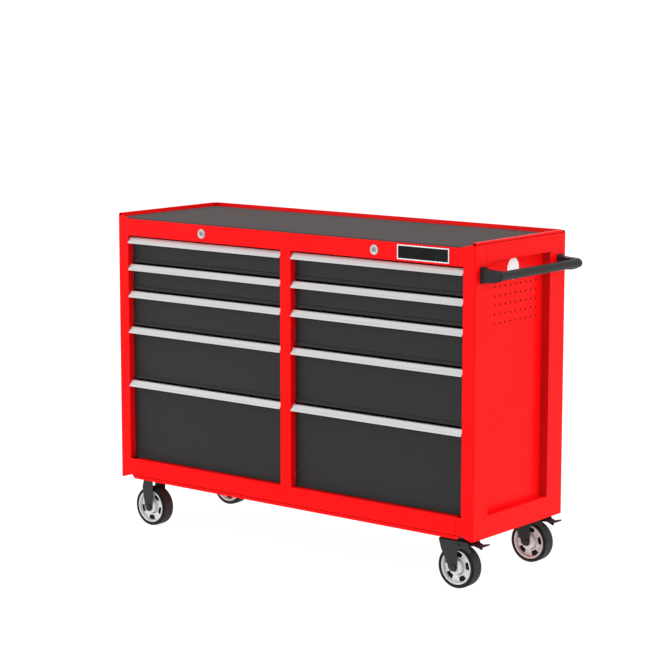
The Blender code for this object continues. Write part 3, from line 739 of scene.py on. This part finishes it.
def badge():
    """Blank name plate: a black field in a bright frame."""
    low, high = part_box("badge_plate")
    rim = 3.5 * MM
    inner_low = (low.x + rim, low.y + 0.9 * MM, low.z + rim)
    inner_high = (high.x - rim, high.y, high.z - rim)
    hollow = box(
        (inner_low[0], low.y - MM, inner_low[2]), (inner_high[0], high.y + MM, inner_high[2]),
    )
    ring = carved([box(low, high)], [hollow])
    piece("badge_frame", ring, SILVER, "cabinet", ["badge_plate"], 0.7 * MM, 3)
    field = box(inner_low, inner_high)
    piece("badge_field", field, DARK_PLASTIC_AND_SHADE, "cabinet", (), 0.2 * MM, 1)


def handle():
    """Side handle: a round bar between two brackets."""
    low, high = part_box("handle_bar")
    middle = (low + high) / 2
    radius = (high.x - low.x) / 2
    bore = 1 * MM
    chamfer = 0.6 * MM
    profile = [
        (bore, low.y), (radius - chamfer, low.y), (radius, low.y + chamfer),
        (radius, high.y - chamfer), (radius - chamfer, high.y), (bore, high.y),
    ]
    bar = moved(turned(profile, 64), (middle.x, 0, middle.z))
    piece("handle_round_bar", bar, GRIP, "cabinet", ["handle_bar"])
    for end, outside in (("front", -1), ("rear", 1)):
        handle_bracket(f"handle_bracket_{end}", middle, radius, outside)


def handle_bracket(node, axis, radius, outside):
    """Flange on the side panel, an arm that narrows, and a round end that continues the bar."""
    low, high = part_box(node)
    panel = low.x - 0.3 * MM
    middle = (low.y + high.y) / 2
    arm = [
        (panel + 3 * MM, axis.z - 20.7 * MM),
        (panel + 48 * MM, axis.z - 18 * MM),
        (axis.x, axis.z - radius),
        (axis.x, axis.z + radius),
        (panel + 15 * MM, axis.z + 14.8 * MM),
        (panel + 3 * MM, axis.z + 18 * MM),
    ]
    elbow = 7 * MM
    steps = 8
    half = (high.y - low.y) / 2
    dome = [(0, -half), (radius, -half)]
    for step in range(steps + 1):
        turn = pi / 2 * step / steps
        dome.append((radius - elbow + elbow * cos(turn), half - elbow + elbow * sin(turn)))
    dome.append((0, half))
    end = turned([(r, outside * y) for r, y in dome], 48)
    flange = box(low, (low.x + 4.7 * MM, high.y, high.z))
    shape = carved([
        flange,
        prism(arm, "Y", low.y, high.y),
        moved(end, (axis.x, middle, axis.z)),
    ])
    piece(f"{node}_cast", shape, GRIP, "cabinet", [node], 1.0 * MM, 3)


# ---------------------------------------------------------------- casters

WHEEL_SIDES = 96
RING_INSIDE = 52.2 * MM  # ring moulded on each side of the tyre
RING_OUTSIDE = 54.4 * MM
WINDOWS = 5
WINDOW_RIM = 1.4  # width of the raised rim of a hub window, in mm


def wheel_tyre():
    """Moulded tyre: slightly crowned tread, round shoulders, a raised ring on each side."""
    half = [
        (49.4, 18.2), (50.0, 18.4), (50.6, 20.6), (51.6, 20.9), (52.2, 22.1), (54.4, 22.4),
        (55.0, 21.2), (56.6, 20.6), (57.9, 19.4), (58.8, 17.4), (59.2, 13.0), (59.4, 6.0),
    ]
    return spun(both_sides(half), WHEEL_SIDES)


def blacken_sidewalls(tyre, at):
    """The side faces of a tyre are blacker than its tread and than the ring moulded on them."""
    tyre.data.materials.append(SIDEWALL)
    for face in tyre.data.polygons:
        radius = Vector((face.center.x - at[0], face.center.z - at[2])).length
        if abs(face.normal.y) > 0.3 and not RING_INSIDE < radius < RING_OUTSIDE:
            face.material_index = 1


def window_outline(turn, grow):
    """One hub window, wide towards the rim and narrow towards the boss, grown by a margin in mm."""
    inner = (27.6 - grow, 8.6 + grow)
    shoulder = (39.4 + grow / 3, 12.6 + grow)
    tip = (42.4 + grow / 3, 0)
    points = []
    mirrored = ((shoulder[0], -shoulder[1]), (inner[0], -inner[1]))
    for radius, across in (inner, shoulder, tip, *mirrored):
        points.append((
            (radius * cos(turn) - across * sin(turn)) * MM,
            (radius * sin(turn) + across * cos(turn)) * MM,
        ))
    return filleted(points, 2.6 * MM, closed=True, steps=3)


def wheel_hub():
    """Dished hub with a boss, a bright rim and five rimmed windows on each side."""
    half = [
        (6.4, 24.1), (7.0, 24.5), (18.6, 24.5), (20.0, 23.8), (20.6, 22.0), (21.2, 14.5),
        (21.4, 8.8), (22.8, 8.8), (23.0, 12.2), (24.4, 12.6), (26.0, 11.6), (42.4, 11.6),
        (42.6, 8.8), (43.4, 8.8), (43.8, 17.4), (44.6, 19.6), (45.6, 20.4), (47.6, 20.4),
        (48.6, 19.6), (49.0, 18.2),
    ]
    solid = spun(both_sides(half), WHEEL_SIDES)
    cavity = spun(both_sides([(23.4, 7.6), (24.2, 10.6), (42.0, 10.6)]), WHEEL_SIDES)
    rims = []
    windows = []
    for window in range(WINDOWS):
        turn = 2 * pi * window / WINDOWS
        rims.append(prism(window_outline(turn, WINDOW_RIM), "Y", -12.5 * MM, 12.5 * MM))
        windows.append(prism(window_outline(turn, 0), "Y", -30 * MM, 30 * MM))
        between = turn + pi / WINDOWS
        for step in (-1, 1):
            rims.append(small_rib(between + step * radians(4)))
    return carved([solid, *rims], [cavity, *windows])


def small_rib(turn):
    """Short raised mark near the rim, on both sides of the hub."""
    rib = box((34 * MM, -13.0 * MM, -0.6 * MM), (41.6 * MM, 13.0 * MM, 0.6 * MM))
    bmesh.ops.rotate(rib, matrix=Matrix.Rotation(-turn, 3, "Y"), verts=rib.verts)
    return rib


def wheel_window_shades():
    """Dark core of the wheel, painted shade: it fills the hub's windows to just below their rims, and a
    groove.
    """
    shapes = [
        spun(both_sides([(24.6, 10.2), (41.8, 10.2)]), 64),
        spun(both_sides([(21.3, 10.4), (22.9, 10.4)]), 64),
    ]
    for window in range(WINDOWS):
        outline = window_outline(2 * pi * window / WINDOWS, -0.05)
        shapes.append(prism(outline, "Y", -11.3 * MM, 11.3 * MM))
    return joined(shapes)


def wheel(side, end, hub, tyre, core):
    """Copies of the hub, tyre and dark core (painted shade) on one caster's axle, turned as the windows
    stand at rest.
    """
    body, joint, turn = {
        "left": (f"rigid_wheel_{end}", f"rigid_wheel_{end}_spin", radians(18)),
        "right": (f"swivel_wheel_{end}", f"swivel_wheel_{end}_spin", radians(-11)),
    }[side]
    at = JOINTS[joint]["pos_m"]
    turning = Matrix.Rotation(turn, 3, "Y")
    for part, shape, material, slot, replaced in (
        ("hub", hub, HUB, "hub_grey", [f"wheel_hub_{side}_{end}"]),
        ("tyre", tyre, TREAD, "tyre_rubber", [f"wheel_tyre_{side}_{end}"]),
        # the dark core is painted shade in the hub's windows and in the groove round the boss
        ("core", core, DARK_PLASTIC_AND_SHADE, "hub_grey", ()),
    ):
        copy = shape.copy()
        bmesh.ops.rotate(copy, matrix=turning, verts=copy.verts)
        moved(copy, at)
        edge = EDGE if part == "hub" else 0
        thing = piece(f"caster_{part}_{side}_{end}", copy, material, body, replaced, edge)
        if part == "tyre":
            blacken_sidewalls(thing, at)


def leg_outline(down, end_middle, end_radius, up):
    """A leg seen from the side: down one edge, round the end at the axle, and up the other edge."""
    end = []
    steps = 16
    for step in range(steps + 1):
        turn = pi + pi * step / steps
        end.append((end_middle[0] + end_radius * cos(turn), end_middle[1] + end_radius * sin(turn)))
    bend = 24 * MM
    return filleted(list(down) + end[:1], bend)[:-1] + end + filleted(end[-1:] + list(up), bend)[1:]


def pressed_legs(outline, top, bend, notch=()):
    """Two legs and the bridge over them, pressed from one thick sheet."""
    outer = 29 * MM
    low = -110 * MM
    channel = bent_sheet(
        filleted([(outer, low), (outer, top), (-outer, top), (-outer, low)], bend),
        3 * MM, "X", -90 * MM, 90 * MM,
    )
    return carved([channel], notch, [prism(outline, "Y", -outer - MM, outer + MM)])


def axle_set(axle):
    """Axle bolt with a washer, a hexagon and its round crown on each side."""
    shapes = [disc(6 * MM, 32, "Y", -29 * MM, 29 * MM, axle)]
    washer = (10.4, 40, 29.05, 30.4)
    hexagon = (8.8, 6, 30.4, 33.0)
    crown = (7.4, 40, 33.0, 33.9)
    for sign in (-1, 1):
        for radius, sides, start, end in (washer, hexagon, crown):
            first, last = sorted((sign * start * MM, sign * end * MM))
            shapes.append(disc(radius * MM, sides, "Y", first, last, axle))
    return joined(shapes)


def mounting_plate():
    """Caster plate with rounded corners, and a washer and a bolt head under each corner."""
    half_x = 57 * MM
    half_y = 35 * MM
    under = 6.5 * MM
    washer_low = 5.4 * MM
    head_low = 1.5 * MM
    corners = [(-half_x, -half_y), (half_x, -half_y), (half_x, half_y), (-half_x, half_y)]
    shapes = [prism(filleted(corners, 8 * MM, closed=True), "Z", under, 9.5 * MM)]
    for x in (-46 * MM, 46 * MM):
        for y in (-25 * MM, 25 * MM):
            shapes.append(disc(9 * MM, 32, "Z", washer_low, under, (x, y)))
            shapes.append(disc(7 * MM, 6, "Z", head_low, washer_low, (x, y)))
    return joined(shapes)


def rigid_casters():
    """Fixed brackets on the left, from the cabinet's underside down to the axle."""
    drop = -83.6 * MM
    for end in ENDS:
        node = f"caster_bracket_left_{end}"
        axis = JOINTS[f"rigid_wheel_{end}_spin"]["pos_m"]
        at = (axis[0], axis[1], axis[2] - drop)
        outline = leg_outline(
            [(-15 * MM, 9.4 * MM), (-24 * MM, -24 * MM)], (0, drop), 14 * MM,
            [(18 * MM, -24 * MM), (16 * MM, 9.4 * MM)],
        )
        legs = pressed_legs(outline, 9.3 * MM, 5 * MM)
        piece(f"{node}_legs", moved(legs, at), BLACK, "cabinet", [node], 0.6 * MM)
        bolt = axle_set((0, drop))
        piece(f"{node}_axle", moved(bolt, at), BLACK, "cabinet", (), 0.3 * MM, 1)
        plate = mounting_plate()
        piece(f"{node}_plate", moved(plate, at), BLACK, "cabinet", (), 0.4 * MM, 1)


def swivel_casters():
    """Braked swivel casters on the right."""
    for end in ENDS:
        axis = JOINTS[f"swivel_{end}_turn"]["pos_m"]
        swivel_plate(end, axis)
        swivel_fork(end, axis)
        brake_pedal(end)


def swivel_plate(end, axis):
    """Plate bolted to the pan, and the race under it."""
    node = f"caster_plate_right_{end}"
    plate = mounting_plate()
    piece(f"{node}_bolted", moved(plate, axis), ZINC_IN_PAINTED_SHADE, "cabinet", [node], 0.4 * MM, 1)
    cup = [
        (7, -4.7), (19.6, -4.7), (22.0, -4.2), (26.4, -2.4), (27.8, -0.4), (28.0, 1.6),
        (28.0, 6.4), (7, 6.4),
    ]
    race = moved(spun(cup, 64, "Z"), axis)
    piece(f"caster_race_right_{end}", race, ZINC_IN_PAINTED_SHADE, "cabinet")


def swivel_fork(end, axis):
    """Fork whose legs reach down to the axle and back over the tyre, with its axle and kingpin."""
    node = f"caster_fork_right_{end}"
    wheel_axis = JOINTS[f"swivel_wheel_{end}_spin"]["pos_m"]
    axle = (wheel_axis[0] - axis[0], wheel_axis[2] - axis[2])
    top = -6 * MM
    leg_rear = 37 * MM
    outline = leg_outline(
        [(-24 * MM, top), (-15 * MM, -36 * MM)],
        (axle[0] - 5.5 * MM, axle[1] + 4 * MM), 14.5 * MM,
        [
            (leg_rear, axle[1] + 14 * MM), (leg_rear, -38 * MM), (45 * MM, -26.6 * MM),
            (60 * MM, -28 * MM), (80 * MM, -37.6 * MM), (84 * MM, -33 * MM), (70 * MM, top),
        ],
    )
    notch = box((38 * MM, -25.8 * MM, -45 * MM), (90 * MM, 25.8 * MM, 5 * MM))
    legs = pressed_legs(outline, -6.2 * MM, 6 * MM, [notch])
    body = f"swivel_{end}"
    piece(f"{node}_legs", moved(legs, axis), BLACK, body, [node], 0.6 * MM)
    bolt = axle_set(axle)
    piece(f"{node}_axle", moved(bolt, axis), BLACK, body, (), 0.3 * MM, 1)
    cone = [
        (1, -12), (17.6, -12), (19, -10.6), (19, -6.0), (17.8, -5.3), (6, -5.3), (6, 9.0), (1, 9.0),
    ]
    king = spun(cone, 48, "Z")
    nut = disc(8.5 * MM, 6, "Z", -17 * MM, -13.05 * MM)
    piece(f"caster_kingpin_right_{end}", moved(joined([king, nut]), axis), ZINC_IN_PAINTED_SHADE, body)


def brake_pedal(end):
    """Foot lever: a wavy plate with a ribbed tip, its pivot barrel and the brake shoe."""
    node = f"brake_pedal_{end}"
    at = JOINTS[f"brake_pedal_{end}_press"]["pos_m"]
    wave = [(3, 2.4), (16, 5.4), (30, 2.4), (40, 4.6), (50, 0.4), (58, 3.4), (64, 4.0), (72.6, 7.3)]
    path = filleted([(x * MM, z * MM) for x, z in wave[::-1]], 14 * MM)
    lever = bent_sheet(path, 4.4 * MM, "Y", -15 * MM, 15 * MM)
    outline = filleted(
        [(0, -15 * MM), (73 * MM, -15 * MM), (73 * MM, 15 * MM), (0, 15 * MM)], 6 * MM, closed=True,
    )
    lever = carved([lever], (), [prism(outline, "Z", -20 * MM, 20 * MM)])
    barrel = disc(5 * MM, 32, "Y", -25 * MM, 25 * MM)
    pins = disc(2.9 * MM, 24, "Y", -29 * MM, 29 * MM)
    shoe = box((2 * MM, -14 * MM, -8.8 * MM), (12 * MM, 14 * MM, 1 * MM))
    shape = joined([lever, barrel, pins, shoe])
    piece(f"{node}_lever", moved(shape, at), PEDAL, f"pedal_{end}", [node], 0.6 * MM)


def casters():
    """Two rigid casters on the left and two swivel casters on the right."""
    hub = wheel_hub()
    tyre = wheel_tyre()
    core = wheel_window_shades()
    for side in SIDES:
        for end in ENDS:
            wheel(side, end, hub, tyre, core)
    rigid_casters()
    swivel_casters()


# ---------------------------------------------------------------- stage

def floor():
    """Plain pale floor that gives off most of its own light, so that the shadow stays faint."""
    material = bpy.data.materials.new("studio_floor")
    material.use_nodes = True
    shader = material.node_tree.nodes["Principled BSDF"]
    shader.inputs["Base Color"].default_value = (0.25, 0.25, 0.25, 1)
    shader.inputs["Emission Color"].default_value = (1, 1, 1, 1)
    shader.inputs["Emission Strength"].default_value = 0.92
    shader.inputs["Roughness"].default_value = 1.0
    shader.inputs["Specular IOR Level"].default_value = 0.0
    shape = bmesh.new()
    bmesh.ops.create_grid(shape, x_segments=1, y_segments=1, size=40)
    mesh = mesh_of(shape, "studio_floor")
    mesh.materials.append(material)
    thing = bpy.data.objects.new("studio_floor", mesh)
    bpy.context.scene.collection.objects.link(thing)


def area_light(name, place, target, size, power):
    """Rectangular softbox that faces its target."""
    light = bpy.data.lights.new(name, "AREA")
    light.shape = "RECTANGLE"
    light.size, light.size_y = size
    light.energy = power
    thing = bpy.data.objects.new(name, light)
    thing.location = place
    thing.rotation_euler = (Vector(target) - Vector(place)).to_track_quat("-Z", "Y").to_euler()
    bpy.context.scene.collection.objects.link(thing)


def lights():
    """White surroundings and two softboxes."""
    world = bpy.data.worlds.new("studio")
    world.use_nodes = True
    background = world.node_tree.nodes["Background"]
    background.inputs["Color"].default_value = (1, 1, 1, 1)
    background.inputs["Strength"].default_value = 1.02
    bpy.context.scene.world = world
    area_light("front_softbox", (-3.4, -5.0, 2.0), (0, 0, 0.5), (3.0, 2.5), 95)
    area_light("side_softbox", (5.0, 1.4, 2.0), (0.6, 0, 0.5), (2.5, 2.0), 50)
    bpy.context.scene.view_settings.view_transform = "Standard"


def camera():
    """Long lens, from the front right and a little above the top."""
    data = bpy.data.cameras.new("camera")
    data.lens = 120.97
    data.clip_end = 100
    thing = bpy.data.objects.new("camera", data)
    thing.location = (3.8645, -4.8935, 1.598)
    thing.rotation_euler = (radians(81.41), 0, radians(38.83))
    bpy.context.scene.collection.objects.link(thing)
    bpy.context.scene.camera = thing


soft_shell()
seams()
top_tray()
top_mat()
for each in SIDES:
    side_panel(each)
label()
drawers()
locks()
badge()
handle()
casters()
floor()
lights()
camera()
